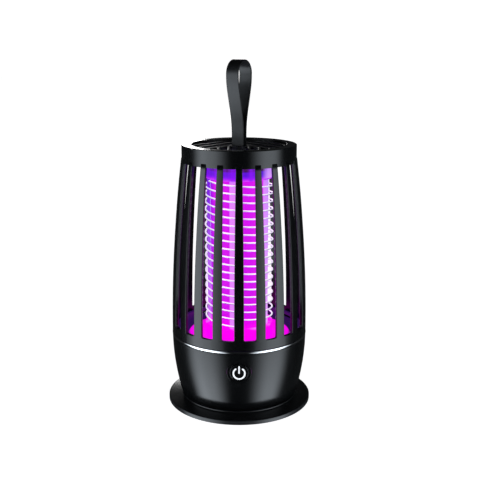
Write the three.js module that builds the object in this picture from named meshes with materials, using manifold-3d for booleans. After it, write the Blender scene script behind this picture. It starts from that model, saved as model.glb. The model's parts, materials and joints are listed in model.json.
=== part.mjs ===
// Electric bug zapper: a lantern-shaped lamp with a wound high-voltage grid inside a barred cage.
// Millimetres, +Z up, origin at the bottom centre. The power button faces -Y.
import * as THREE from "three";
import { mergeVertices } from "three/addons/utils/BufferGeometryUtils.js";
import Module from "manifold-3d";

const wasm = await Module();
wasm.setup();

// ---- driving dimensions ----

const GAP = 0.3; // between pieces that touch
const SIDES = 40; // facets round a large turned piece
const FULL = 2 * Math.PI;
const DEG = Math.PI / 180;

// The barrel's side is two arcs that meet upright at the trim ring.
const BELLY_Z = 60;
const BELLY_R = 55.4;
const LOWER_ARC_R = 186;
const UPPER_ARC_R = 1086;

const FEET = { count: 4, pitch: 50, r: 5, top: 2, pocketTop: 2.3 };
const PLATE = { r: 59.3, bottom: 0.8, edgeTop: 4.3, creaseR: 45.7, creaseZ: 6.7, top: 6.4 };
const PLATE_RECESS = { r: 42, top: 2.8 };
const SCREWS = { count: 4, pitch: 36, headR: 2.6, headZ: [3, 5], shankR: 1.3, tip: 18 };
const SHELL = { bottom: 7, top: 58.3, wall: 2.2, postR: 3.6, postTop: 29.5, ribWidth: 2 };
const LEDGE = { r: 49.5, z: [50, 52] };
const DECK = { holeR: 10, z: 58.7, thick: 2.2, r: 41.5, troughZ: 56.2, troughR: [43, 48.8] };
const NECK = { r: [48.8, 51], z: [52.3, 66] };
const TRIM = { r: [51.4, 55.6], z: [58.6, 60.3] };

const BARS = { count: 20, slot: 9.4, depth: 2.8, z: [68.6, 201.4], levels: 7 };
const BAND = { bottom: 60.6, inner: 52.5 };
const LUGS = { count: 4, innerR: 49.6, z: [60.9, 62.9], width: 6, swing: 18 };
const RING = { r: 45.9, wall: 2.8, top: 215, rimR: 38, rimThick: 2, ledgeR: 36.3 };
const GRILLE = { r: 37.7, z: [211.4, 213.9], rim: 2.1, hubR: 8.6, rib: 2.4 };
const FRONT_RIBS = { pitch: 7.9, each: 3, edge: 35 };
const SIDE_RIBS = { slant: 48, width: 4.2, offsets: [7.5, 18, 28.5] };

const BUTTON = { z: 42.7, r: 7.4, flangeR: 8.7, front: -54.3, flangeY: -51.2, back: -50.4 };
const BEZEL = { r: [7.7, 9.6], y: [-53.9, -51.5] };
const MARK = { z: 42.1, r: 4.6, stroke: 1.3, opening: 34, barZ: [42.0, 48.2] };
const SWITCH = { y: [-49.2, -46.9], size: 6, holeR: 2, holeBack: -47.4, plungerR: 1.7, plungerBack: -48.4 };
const SWITCH_BOARD = { width: 18, y: [-46.6, -45.2], z: [33, 51] };
const SOCKET = { width: 9, height: 3.3, wall: 0.35, y: [41, 50.4], z: 27.7 };
const BATTERY = { r: 9.2, length: 65, y: 8, z: 17.8 };
const BOARD = { r: 45, front: -38, z: [29.8, 31.4] };

const COIL = { r: 27.3, bottom: 70.7, pitch: 12.72, turns: 9, lead: 60, perTurn: 18 };
const WIRE = { r: 0.75, sides: 5 };
const TERMINAL = { r: [24.2, 26.1], half: 1.5, height: 3.7 };
const COIL_TURNS = COIL.turns + COIL.lead / 360;
const COLLAR = { r: 27.8, inner: 23.5, lower: [59, 68.2], upper: [189, 201.5] };
const POSTS = { count: 5, first: -102, r: [23.4, 25.8], width: 4.6, tenonR: 25.2, tenonTop: 199.2 };
const TUBE = { r: [21.3, 23.1], z: [61.3, 199.2] };

// The strap's loop stands in an upright plane turned from the front; its ribbon's width is across that plane.
const STRAP = { turn: 60, width: 11, thick: 1.4, loopR: 11.1, loopZ: 269.6, rootR: 2.5, legZ: 224, pivotZ: 218.2 };
const STRAP_LEG = [[3.3, 235], [7.7, 249], [10.4, 260]];
const STRAP_SLOT = { width: 12.4, depth: 5.8 };
const TAILS = { depth: 4.6, z: [207, 213.4] };
const STRAP_BAR = { r: 1.4, length: 15, z: 205.2 };

// ---- materials ----

function plastic(color, roughness) {
  return new THREE.MeshStandardMaterial({ color, roughness, metalness: 0 });
}

function metal(color, roughness) {
  return new THREE.MeshStandardMaterial({ color, roughness, metalness: 1 });
}

const MATERIALS = {
  gloss: plastic(0x0b0c0e, 0.22),
  satin: plastic(0x101113, 0.4),
  rubber: plastic(0x18181a, 0.85),
  strap: plastic(0x1b1d1f, 0.55),
  glow: plastic(0xd44bf5, 0.35),
  frost: plastic(0xe9d8ff, 0.3),
  white: plastic(0xf4f4f2, 0.4),
  board: plastic(0x1f5c38, 0.5),
  battery: plastic(0x2d6fb0, 0.45),
  tape: plastic(0xd7a83a, 0.5),
  chrome: metal(0xe6e8ea, 0.08),
  steel: metal(0xb9bcc0, 0.3),
  brass: metal(0xc9a24a, 0.3),
};

// ---- solids ----

// A closed mesh as a solid, with its faces turned outwards.
function solidOf(geometry) {
  const bare = geometry.clone();
  bare.deleteAttribute("normal");
  bare.deleteAttribute("uv");
  const merged = mergeVertices(bare, 1e-4);
  const corners = merged.index.array;
  const triangles = [];
  for (let i = 0; i < corners.length; i += 3) {
    const [a, b, c] = [corners[i], corners[i + 1], corners[i + 2]];
    if (a !== b && b !== c && c !== a) triangles.push([a, b, c]);
  }
  const build = (faces) =>
    new wasm.Manifold(
      new wasm.Mesh({
        numProp: 3,
        vertProperties: merged.attributes.position.array,
        triVerts: new Uint32Array(faces.flat()),
      }),
    );
  const solid = build(triangles);
  return solid.volume() < 0 ? build(triangles.map(([a, b, c]) => [a, c, b])) : solid;
}

function geometryOf(solid) {
  const mesh = solid.getMesh();
  const count = mesh.numVert;
  const points = new Float32Array(count * 3);
  for (let i = 0; i < count; i += 1) {
    points.set(mesh.vertProperties.subarray(i * mesh.numProp, i * mesh.numProp + 3), i * 3);
  }
  const geometry = new THREE.BufferGeometry();
  geometry.setAttribute("position", new THREE.BufferAttribute(points, 3));
  geometry.setIndex(new THREE.BufferAttribute(new Uint32Array(mesh.triVerts), 1));
  geometry.computeVertexNormals();
  return geometry;
}

// A closed outline of [radius, height] points turned about Z.
function turned(outline, sides = SIDES) {
  const points = [...outline, outline[0]].map(([r, z]) => new THREE.Vector2(r, z));
  const geometry = new THREE.LatheGeometry(points, sides);
  geometry.rotateX(Math.PI / 2);
  return solidOf(geometry);
}

function cylinder(r, [low, high], sides = 24) {
  return turned([[0, low], [r, low], [r, high], [0, high]], sides);
}

// A box between two corners.
function box([x0, x1], [y0, y1], [z0, z1]) {
  const geometry = new THREE.BoxGeometry(x1 - x0, y1 - y0, z1 - z0);
  geometry.translate((x0 + x1) / 2, (y0 + y1) / 2, (z0 + z1) / 2);
  return solidOf(geometry);
}

// A flat shape drawn in X and Y, made thick from one height to another.
function slab(shape, [low, high], curveSegments = 8) {
  const settings = { depth: high - low, bevelEnabled: false, curveSegments };
  const geometry = new THREE.ExtrudeGeometry(shape, settings);
  geometry.translate(0, 0, low);
  return solidOf(geometry);
}

function placed(solid, matrix) {
  return solidOf(geometryOf(solid).applyMatrix4(matrix));
}

function moved(solid, x, y, z) {
  return placed(solid, new THREE.Matrix4().makeTranslation(x, y, z));
}

// Turned about Z, in degrees.
function spun(solid, angle) {
  return placed(solid, new THREE.Matrix4().makeRotationZ(angle * DEG));
}

// From standing along Z to pointing along +Y, so that heights become y and -Y faces the front.
function facingFront(solid, z) {
  const turn = new THREE.Matrix4().makeRotationX(-Math.PI / 2);
  return placed(solid, new THREE.Matrix4().makeTranslation(0, 0, z).multiply(turn));
}

function ringOf(count, first, make) {
  return Array.from({ length: count }, (_, i) => make(first + (i * 360) / count, i));
}

function united(solids) {
  return solids.reduce((all, next) => all.add(next));
}

// ---- the barrel's profile ----

function barrelRadius(z) {
  const arc = z < BELLY_Z ? LOWER_ARC_R : UPPER_ARC_R;
  return BELLY_R - (z - BELLY_Z) ** 2 / (2 * arc);
}

function steps([low, high], count) {
  return Array.from({ length: count + 1 }, (_, i) => low + ((high - low) * i) / count);
}

function barrelOutline(range, count, inset = 0) {
  return steps(range, count).map((z) => [barrelRadius(z) - inset, z]);
}

// ---- base ----

function footPlate() {
  const { r, bottom, edgeTop, creaseR, creaseZ, top } = PLATE;
  const edge = (edgeTop - bottom) / 2;
  const bullnose = steps([-80, 80], 4).map((angle) => [
    r - edge + edge * Math.cos(angle * DEG),
    bottom + edge + edge * Math.sin(angle * DEG),
  ]);
  const plate = turned([
    [0, PLATE_RECESS.top],
    [PLATE_RECESS.r, PLATE_RECESS.top],
    [PLATE_RECESS.r, bottom],
    ...bullnose,
    [creaseR, creaseZ],
    [creaseR - 0.7, top],
    [0, top],
  ]);
  const pockets = ringOf(FEET.count, 45, (angle) =>
    spun(moved(cylinder(FEET.r + GAP, [0, FEET.pocketTop]), FEET.pitch, 0, 0), angle),
  );
  const holes = ringOf(SCREWS.count, 45, (angle) => {
    const bore = cylinder(SCREWS.shankR + GAP, [0, top + 1], 12);
    const sink = cylinder(SCREWS.headR + GAP, [0, SCREWS.headZ[1] + GAP], 16);
    return spun(moved(bore.add(sink), SCREWS.pitch, 0, 0), angle);
  });
  return plate.subtract(united([...pockets, ...holes]));
}

function rubberFoot() {
  return turned([[0, 0], [FEET.r - 0.5, 0], [FEET.r, 0.5], [FEET.r, FEET.top], [0, FEET.top]], 24);
}

function screw() {
  const { headR, headZ, shankR, tip } = SCREWS;
  const body = turned(
    [[0, headZ[0]], [headR, headZ[0]], [headR, headZ[1]], [shankR, headZ[1]], [shankR, tip - 1], [0, tip]],
    16,
  );
  const slot = 0.5;
  const across = box([-headR, headR], [-slot / 2, slot / 2], [headZ[0] - 1, headZ[0] + 0.9]);
  return body.subtract(across).subtract(spun(across, 90));
}

// Screw posts joined to the shell's wall by ribs.
function shellPosts() {
  const core = turned([[0, SHELL.bottom], ...barrelOutline([SHELL.bottom, 40], 4, 1.4), [0, 40]]);
  const posts = ringOf(SCREWS.count, 45, (angle) => {
    const post = moved(cylinder(SHELL.postR, [SHELL.bottom, SHELL.postTop], 16), SCREWS.pitch, 0, 0);
    const half = SHELL.ribWidth / 2;
    const rib = box([SCREWS.pitch, BELLY_R], [-half, half], [SHELL.bottom, SHELL.postTop]);
    return spun(post.add(rib), angle);
  });
  const bores = ringOf(SCREWS.count, 45, (angle) =>
    spun(moved(cylinder(SCREWS.shankR + GAP, [0, SCREWS.tip + 2], 12), SCREWS.pitch, 0, 0), angle),
  );
  return united(posts).intersect(core).subtract(united(bores));
}

function roundedSlot(width, height) {
  const r = height / 2;
  const half = width / 2 - r;
  const shape = new THREE.Shape();
  shape.absarc(half, 0, r, -Math.PI / 2, Math.PI / 2);
  shape.absarc(-half, 0, r, Math.PI / 2, (3 * Math.PI) / 2);
  return shape;
}

// A flat shape drawn in X and Z, reaching from one y to another.
function depthwise(shape, [near, far], z, curveSegments) {
  return facingFront(flippedSlab(shape, [near, far], curveSegments), z);
}

// The shape is mirrored before it is laid over, so that its up stays up.
function flippedSlab(shape, range, curveSegments) {
  const flip = new THREE.Matrix4().makeScale(1, -1, 1);
  return placed(slab(shape, range, curveSegments), flip);
}

function baseShell() {
  const { bottom, top, wall } = SHELL;
  const outer = barrelOutline([bottom + 1.6, top], 5);
  const inner = barrelOutline([bottom + 1.6, LEDGE.z[0]], 4, wall).reverse();
  const shell = turned([
    [46.2, bottom],
    [47.5, bottom + 0.5],
    ...outer,
    [barrelRadius(top) - wall, top],
    [barrelRadius(top) - wall, LEDGE.z[1]],
    [LEDGE.r, LEDGE.z[1]],
    [LEDGE.r, LEDGE.z[0] + 0.6],
    ...inner,
    [45.3, bottom],
  ]);
  const buttonHole = facingFront(cylinder(BEZEL.r[1] + GAP, [-60, -46], 32), BUTTON.z);
  const socketShape = roundedSlot(SOCKET.width + 2 * GAP, SOCKET.height + 2 * GAP);
  const socketHole = depthwise(socketShape, [46, 60], SOCKET.z, 6);
  return shell.add(shellPosts()).subtract(buttonHole).subtract(socketHole);
}

function deck() {
  const { holeR, z, thick, r, troughZ, troughR } = DECK;
  const body = turned([
    [holeR, z - thick],
    [holeR, z],
    [r, z],
    [troughR[0], troughZ],
    [troughR[1], troughZ],
    [NECK.r[0], NECK.z[1]],
    [NECK.r[1], NECK.z[1]],
    [NECK.r[1], NECK.z[0]],
    [troughR[1] - 1, NECK.z[0]],
    [troughR[1] - 1, troughZ - thick],
    [troughR[0] - 1.4, troughZ - thick],
    [r - 1.3, z - thick],
  ]);
  return body.subtract(united(ringOf(LUGS.count, 45, (angle) => spun(bayonetSlot(), angle))));
}

// An L-shaped slot in the neck: the lug drops in, then turns under the roof.
function bayonetSlot() {
  const play = 0.5;
  const half = LUGS.width / 2 + play;
  const low = LUGS.z[0] - play;
  const entry = box([NECK.r[0] - 2, NECK.r[1] + 2], [-half, half], [low, NECK.z[1] + 1]);
  const legSteps = 3;
  const leg = steps([-LUGS.swing, 0], legSteps).map((angle) =>
    spun(box([NECK.r[0] - 2, NECK.r[1] + 2], [-half, half], [low, LUGS.z[1] + play]), angle),
  );
  return entry.add(united(leg));
}

// ---- cage ----

function trimRing() {
  const [inner, outer] = TRIM.r;
  const [low, high] = TRIM.z;
  const mid = (low + high) / 2;
  return turned([[inner, low], [outer - 0.25, low], [outer, mid], [outer - 0.25, high], [inner, high]]);
}

function cageBand() {
  const top = BARS.z[0];
  const band = turned([
    [BAND.inner, BAND.bottom],
    ...barrelOutline([BAND.bottom, top], 2),
    [barrelRadius(top) - BARS.depth, top],
  ]);
  const half = LUGS.width / 2;
  const lugs = ringOf(LUGS.count, 45, (angle) =>
    spun(box([LUGS.innerR, BAND.inner + 1], [-half, half], LUGS.z), angle),
  );
  return band.add(united(lugs));
}

// One upright bar, in the XZ plane on the +X side. Its width leaves the same slot all the way up.
function cageBar() {
  const levels = steps([BARS.z[0] + GAP, BARS.z[1] - GAP], BARS.levels - 1);
  const points = levels.flatMap((z) => {
    const outer = barrelRadius(z);
    const inner = outer - BARS.depth;
    const half = (Math.PI * outer) / BARS.count - BARS.slot / 2;
    const slimmer = half - 0.3;
    return [[inner, -slimmer, z], [outer, -half, z], [outer, half, z], [inner, slimmer, z]];
  });
  const faces = [[0, 2, 1], [0, 3, 2]];
  for (let level = 0; level < levels.length - 1; level += 1) {
    for (let side = 0; side < 4; side += 1) {
      const a = 4 * level + side;
      const b = 4 * level + ((side + 1) % 4);
      faces.push([a, b, b + 4], [a, b + 4, a + 4]);
    }
  }
  const last = 4 * (levels.length - 1);
  faces.push([last, last + 1, last + 2], [last, last + 2, last + 3]);
  const geometry = new THREE.BufferGeometry();
  geometry.setAttribute("position", new THREE.Float32BufferAttribute(points.flat(), 3));
  geometry.setIndex(faces.flat());
  return solidOf(geometry);
}

function topRing() {
  const { r, wall, top, rimR, rimThick, ledgeR } = RING;
  const bottom = BARS.z[1];
  const seat = GRILLE.z[0] - GAP;
  return turned([
    [r - wall, bottom],
    [r, bottom],
    [r, top - 0.6],
    [r - 0.6, top],
    [rimR, top],
    [rimR, seat],
    [ledgeR, seat],
    [ledgeR, seat - 1.5],
    [rimR + rimThick, seat - 1.5],
    [rimR + rimThick, top - rimThick],
    [r - wall, top - rimThick],
  ]);
}

// A straight rib of the grille between two points of the plan.
function rib([x0, y0], [x1, y1], width) {
  const length = Math.hypot(x1 - x0, y1 - y0);
  const bar = box([0, length], [-width / 2, width / 2], GRILLE.z);
  return moved(spun(bar, Math.atan2(y1 - y0, x1 - x0) / DEG), x0, y0, 0);
}

// Front-to-back ribs in the fan shaped front field, which ends on two slanting arms.
function frontRibs(reach) {
  const { pitch, each, edge } = FRONT_RIBS;
  const straight = Array.from({ length: 2 * each + 1 }, (_, i) => {
    const x = (i - each) * pitch;
    return rib([x, -Math.sqrt(reach ** 2 - x ** 2)], [x, -Math.abs(x) * Math.tan(edge * DEG)], GRILLE.rib);
  });
  const arms = [180 + edge, -edge].map((bearing) => {
    const end = [reach * Math.cos(bearing * DEG), reach * Math.sin(bearing * DEG)];
    return rib([0, 0], end, GRILLE.rib);
  });
  return [...straight, ...arms];
}

// Wide slanting ribs of one side field; they meet those of the other side on the middle rib.
function sideRibs(reach, side) {
  const { slant, width, offsets } = SIDE_RIBS;
  const [along, up] = [Math.cos(slant * DEG), Math.sin(slant * DEG)];
  return offsets.map((offset) => {
    const chord = Math.sqrt(reach ** 2 - offset ** 2);
    const start = -Math.min(chord, offset / Math.tan((slant - FRONT_RIBS.edge) * DEG));
    const end = Math.min(chord, (offset * up) / along);
    const at = (s) => [side * (along * s - up * offset), along * offset + up * s];
    return rib(at(start), at(end), width);
  });
}

function topGrille() {
  const { r, z, rim, hubR } = GRILLE;
  const reach = r - rim / 2;
  const open = [z[0] - 1, z[1] + 1];
  const frame = cylinder(r, z, SIDES).subtract(cylinder(r - rim, open, SIDES));
  const hub = cylinder(hubR, z, SIDES);
  const middle = rib([0, 0], [0, reach], GRILLE.rib);
  const ribs = [...frontRibs(reach), ...sideRibs(reach, 1), ...sideRibs(reach, -1), middle];
  const { width, depth } = STRAP_SLOT;
  const strapSlot = box([-depth / 2, depth / 2], [-width / 2, width / 2], open);
  return united([frame, hub, ...ribs]).intersect(cylinder(r, z, SIDES)).subtract(spun(strapSlot, STRAP.turn));
}

// ---- strap ----

// Half of the loop's outline in [across, height], from the root up to the crown.
function strapSide(inset) {
  const knots = [[STRAP.rootR, STRAP.legZ], ...STRAP_LEG, [STRAP.loopR, STRAP.loopZ]];
  const side = new THREE.SplineCurve(knots.map(([across, z]) => new THREE.Vector2(across - inset, z)));
  const crown = steps([0, 90], 5).slice(1).map((angle) => [
    (STRAP.loopR - inset) * Math.cos(angle * DEG),
    STRAP.loopZ + (STRAP.loopR - inset) * Math.sin(angle * DEG),
  ]);
  return [...side.getPoints(8).map((p) => [p.x, p.y]), ...crown];
}

function mirrored(half) {
  return half.slice(0, -1).reverse().map(([x, z]) => [-x, z]);
}

function strap() {
  const root = steps([-90, 0], 4).map((angle) => [
    STRAP.rootR * Math.cos(angle * DEG),
    STRAP.pivotZ + STRAP.rootR * Math.sin(angle * DEG),
  ]);
  const outerHalf = [...root, ...strapSide(0)];
  const outer = [...outerHalf, ...mirrored(outerHalf).slice(0, -1)];
  const innerHalf = strapSide(STRAP.thick);
  const inner = [...innerHalf, ...mirrored(innerHalf)];
  const shape = new THREE.Shape(outer.map(([x, z]) => new THREE.Vector2(x, z)));
  shape.holes.push(new THREE.Path(inner.map(([x, z]) => new THREE.Vector2(x, z))));
  return slab(shape, [-STRAP.width / 2, STRAP.width / 2]);
}

// Lays the loop's plane upright and turns it about Z.
function strapMatrix() {
  const upright = new THREE.Matrix4().makeRotationX(Math.PI / 2);
  return new THREE.Matrix4().makeRotationZ(STRAP.turn * DEG).multiply(upright);
}

function strapTails() {
  const { depth, z } = TAILS;
  return box([-depth / 2, depth / 2], [-STRAP.width / 2, STRAP.width / 2], z);
}

function strapBar() {
  const { r, length } = STRAP_BAR;
  return facingFront(cylinder(r, [-length / 2, length / 2], 12), STRAP_BAR.z);
}

// ---- button and switch ----

function powerButton() {
  const { r, flangeR, front, flangeY, back } = BUTTON;
  const cap = turned(
    [
      [0, front],
      [r - 0.5, front],
      [r, front + 0.5],
      [r, flangeY],
      [flangeR, flangeY],
      [flangeR, back],
      [6.5, back],
      [6.5, front + 1.3],
      [0, front + 1.3],
    ],
    32,
  );
  return facingFront(cap, BUTTON.z).subtract(powerMark([front - 1, front + 2], 0.15));
}

// The generic power mark: an open ring and an upright bar.
function powerMark(depth, grow) {
  const outer = MARK.r + MARK.stroke / 2 + grow;
  const inner = MARK.r - MARK.stroke / 2 - grow;
  const start = Math.PI / 2 + MARK.opening * DEG - grow / MARK.r;
  const end = Math.PI / 2 + FULL - MARK.opening * DEG + grow / MARK.r;
  const ring = new THREE.Shape();
  ring.absarc(0, 0, outer, start, end, false);
  ring.absarc(0, 0, inner, end, start, true);
  const half = MARK.stroke / 2 + grow;
  const bar = box([-half, half], depth, [MARK.barZ[0] - grow, MARK.barZ[1] + grow]);
  return depthwise(ring, depth, MARK.z, 14).add(bar);
}

function lightGuide() {
  const disc = facingFront(cylinder(6.2, [BUTTON.front + 1.6, BUTTON.front + 2.6], 24), BUTTON.z);
  return disc.add(powerMark([BUTTON.front, BUTTON.front + 1.8], 0));
}

function bezel() {
  const [inner, outer] = BEZEL.r;
  const [front, back] = BEZEL.y;
  const ring = turned([[inner, front + 0.7], [outer, front], [outer, back], [inner, back]], 32);
  return facingFront(ring, BUTTON.z);
}

function switchBody() {
  const half = SWITCH.size / 2;
  const body = box([-half, half], SWITCH.y, [BUTTON.z - half, BUTTON.z + half]);
  const hole = facingFront(cylinder(SWITCH.holeR, [SWITCH.y[0] - 1, SWITCH.holeBack], 16), BUTTON.z);
  return body.subtract(hole);
}

function switchPlunger() {
  const front = BUTTON.front + 2.6 + GAP;
  return facingFront(cylinder(SWITCH.plungerR, [front, SWITCH.plungerBack], 16), BUTTON.z);
}

function switchBoard() {
  const half = SWITCH_BOARD.width / 2;
  return box([-half, half], SWITCH_BOARD.y, SWITCH_BOARD.z);
}

// ---- charging, battery and boards ----

function socketShell() {
  const { width, height, wall, y, z } = SOCKET;
  const outside = depthwise(roundedSlot(width, height), y, z, 6);
  const inside = roundedSlot(width - 2 * wall, height - 2 * wall);
  return outside.subtract(depthwise(inside, [y[0] + 1, y[1] + 1], z, 6));
}

function socketTongue() {
  return box([-3.3, 3.3], [SOCKET.y[0] + 1 + GAP, SOCKET.y[1] - 1], [SOCKET.z - 0.35, SOCKET.z + 0.35]);
}

function alongX(solid, y, z) {
  const turn = new THREE.Matrix4().makeRotationY(Math.PI / 2);
  return placed(solid, new THREE.Matrix4().makeTranslation(0, y, z).multiply(turn));
}

function battery() {
  const { r, length, y, z } = BATTERY;
  const end = length / 2;
  const cell = turned(
    [
      [0, -end],
      [r - 0.6, -end],
      [r, 0.6 - end],
      [r, end - 2],
      [r - 1, end - 1],
      [3, end - 1],
      [3, end],
      [0, end],
    ],
    24,
  );
  return alongX(cell, y, z);
}

function batteryHolder() {
  const { r, length, y, z } = BATTERY;
  const floor = PLATE.top + GAP;
  const end = length / 2 + GAP;
  const wall = 2.4;
  const across = [y - r - 1.3, y + r + 1.3];
  const cradle = box([-end - wall, end + wall], across, [floor, z - 3]);
  const ends = [-1, 1].map((side) => {
    const x = [side * end, side * (end + wall)].sort((a, b) => a - b);
    return box(x, across, [floor, z + r - 2]);
  });
  return united([cradle, ...ends]).subtract(alongX(cylinder(r + GAP, [-end, end]), y, z));
}

function mainBoard() {
  const { r, front, z } = BOARD;
  return cylinder(r, z, SIDES).intersect(box([-r, r], [front, r], [z[0] - 1, z[1] + 1]));
}

function transformer() {
  const floor = BOARD.z[1] + GAP;
  const core = box([-26, -8], [4, 18], [floor, floor + 4]);
  const winding = moved(cylinder(6, [floor + 4, floor + 12], 20), -17, 11, 0);
  const head = box([-26, -8], [4, 18], [floor + 12, floor + 15]);
  return united([core, winding, head]);
}

function capacitor() {
  const floor = BOARD.z[1] + GAP;
  const can = [[0, floor], [5, floor], [5, floor + 13], [4.4, floor + 13.6], [0, floor + 13.6]];
  return moved(turned(can, 20), 17, 12, 0);
}

// ---- grid and lamp ----

function gridFrame() {
  const { r, inner, lower } = COLLAR;
  const collar = turned([
    [inner - 2.5, lower[0]],
    [r, lower[0]],
    [r, lower[1]],
    [inner, lower[1]],
    [inner, lower[0] + 2],
    [inner - 2.5, lower[0] + 2],
  ]);
  const half = POSTS.width / 2;
  const posts = ringOf(POSTS.count, POSTS.first, (angle) => {
    const post = box(POSTS.r, [-half, half], [lower[0] + 1, COLLAR.upper[0] - GAP]);
    const tenon = box([POSTS.r[0], POSTS.tenonR], [-half, half], [lower[0] + 1, POSTS.tenonTop]);
    return spun(post.add(tenon), angle);
  });
  return united([collar, ...posts]);
}

function gridCap() {
  const { r, upper } = COLLAR;
  const [low, high] = upper;
  const wall = 2;
  return turned([
    [r - wall, low],
    [r, low],
    [r, high - 1.5],
    [r - 1.5, high],
    [0, high],
    [0, high - wall],
    [r - wall, high - wall],
  ]);
}

class Helix extends THREE.Curve {
  constructor(end) {
    super();
    this.end = end * DEG;
  }

  getPoint(t, target = new THREE.Vector3()) {
    const turn = (1 - t) * COIL_TURNS;
    const angle = this.end - FULL * turn;
    return target.set(COIL.r * Math.cos(angle), COIL.r * Math.sin(angle), COIL.bottom + turn * COIL.pitch);
  }
}

// One of the two wires, wound downwards to its end. The two end on opposite sides, half a pitch apart
// at any bearing.
function gridWire(end) {
  const corners = Array.from({ length: WIRE.sides }, (_, i) => {
    const angle = (FULL * i) / WIRE.sides;
    return new THREE.Vector2(WIRE.r * Math.cos(angle), WIRE.r * Math.sin(angle));
  });
  const settings = { steps: COIL_TURNS * COIL.perTurn, extrudePath: new Helix(end) };
  return solidOf(new THREE.ExtrudeGeometry(new THREE.Shape(corners), settings));
}

function terminal() {
  const { r, half, height } = TERMINAL;
  const floor = COLLAR.lower[1] + GAP;
  return box(r, [-half, half], [floor, floor + height]);
}

function lampTube() {
  const [inner, outer] = TUBE.r;
  const [low, high] = TUBE.z;
  return turned([[inner, low], [outer, low], [outer, high], [inner, high]], 32);
}

function ledStrip() {
  const board = box([-6, 6], [-0.8, 0.8], [TUBE.z[0] + 2, TUBE.z[1] - 3]);
  const chips = steps([72, 187], 8).flatMap((z) => [
    box([-2.5, 2.5], [-2.2, 0], [z - 2.5, z + 2.5]),
    box([-2.5, 2.5], [0, 2.2], [z - 2.5, z + 2.5]),
  ]);
  return united([board, ...chips]);
}

// ---- assembly ----

const zapper = new THREE.Group();
const base = new THREE.Group();
const cage = new THREE.Group();
zapper.add(base, cage);

function add(group, name, solid, material) {
  const mesh = new THREE.Mesh(geometryOf(solid), MATERIALS[material]);
  mesh.name = name;
  group.add(mesh);
  return mesh;
}

function addRing(group, name, solid, material, count, first, pitch = 0) {
  ringOf(count, first, (angle, i) => {
    const mesh = add(group, `${name}_${String(i + 1).padStart(2, "0")}`, solid, material);
    mesh.position.set(pitch * Math.cos(angle * DEG), pitch * Math.sin(angle * DEG), 0);
    mesh.rotation.z = angle * DEG;
  });
}

add(base, "foot_plate", footPlate(), "gloss");
addRing(base, "rubber_foot", rubberFoot(), "rubber", FEET.count, 45, FEET.pitch);
addRing(base, "base_screw", screw(), "steel", SCREWS.count, 45, SCREWS.pitch);
add(base, "base_shell", baseShell(), "gloss");
add(base, "deck", deck(), "glow");
add(base, "button_bezel", bezel(), "gloss");
add(base, "switch_body", switchBody(), "satin");
add(base, "switch_board", switchBoard(), "board");
add(base, "charging_socket_shell", socketShell(), "steel");
add(base, "charging_socket_tongue", socketTongue(), "satin");
add(base, "battery", battery(), "battery");
add(base, "battery_holder", batteryHolder(), "satin");
add(base, "main_board", mainBoard(), "board");
add(base, "high_voltage_transformer", transformer(), "tape");
add(base, "high_voltage_capacitor", capacitor(), "tape");
add(base, "grid_frame", gridFrame(), "glow");
add(base, "grid_cap", gridCap(), "glow");
add(base, "grid_wire_a", gridWire(-90), "steel");
add(base, "grid_wire_b", gridWire(90), "steel");
add(base, "grid_terminal_a", terminal(), "brass").rotation.z = -88 * DEG;
add(base, "grid_terminal_b", terminal(), "brass").rotation.z = 92 * DEG;
add(base, "lamp_tube", lampTube(), "frost");
add(base, "led_strip", ledStrip(), "white");

add(base, "power_button", powerButton(), "gloss");
add(base, "button_light_guide", lightGuide(), "white");
add(base, "switch_plunger", switchPlunger(), "satin");

add(cage, "trim_ring", trimRing(), "chrome");
add(cage, "cage_band", cageBand(), "gloss");
addRing(cage, "cage_bar", cageBar(), "gloss", BARS.count, -90);
add(cage, "cage_top_ring", topRing(), "gloss");
add(cage, "top_grille", topGrille(), "satin");

add(cage, "strap", strap(), "strap").applyMatrix4(strapMatrix());
add(cage, "strap_tails", strapTails(), "strap").rotation.z = STRAP.turn * DEG;
add(cage, "strap_bar", strapBar(), "steel").rotation.z = STRAP.turn * DEG;

export default zapper;
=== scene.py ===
"""Electric bug zapper: the looks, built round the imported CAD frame. Metres, +Z up, button towards -Y."""

import json
import math

import bmesh
import bpy
from mathutils import Matrix, Vector


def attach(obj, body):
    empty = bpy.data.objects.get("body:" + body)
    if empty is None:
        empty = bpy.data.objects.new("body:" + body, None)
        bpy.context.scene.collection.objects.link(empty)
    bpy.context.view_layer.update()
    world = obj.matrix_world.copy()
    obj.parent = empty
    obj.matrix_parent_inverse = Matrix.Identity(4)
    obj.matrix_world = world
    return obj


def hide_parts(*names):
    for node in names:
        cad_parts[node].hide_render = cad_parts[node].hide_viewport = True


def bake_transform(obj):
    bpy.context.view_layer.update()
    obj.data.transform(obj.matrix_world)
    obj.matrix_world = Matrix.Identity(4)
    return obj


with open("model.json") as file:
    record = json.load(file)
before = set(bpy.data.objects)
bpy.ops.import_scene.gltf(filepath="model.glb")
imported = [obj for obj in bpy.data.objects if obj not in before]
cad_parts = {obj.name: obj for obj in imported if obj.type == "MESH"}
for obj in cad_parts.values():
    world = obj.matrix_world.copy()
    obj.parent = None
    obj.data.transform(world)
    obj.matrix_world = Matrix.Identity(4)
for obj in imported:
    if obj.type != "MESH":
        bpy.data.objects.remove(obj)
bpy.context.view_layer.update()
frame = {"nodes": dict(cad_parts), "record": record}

MM = 0.001
DEG = math.pi / 180

# ---- dimensions in millimetres: the CAD source's, but for a slimmer wire and power mark ----

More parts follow.
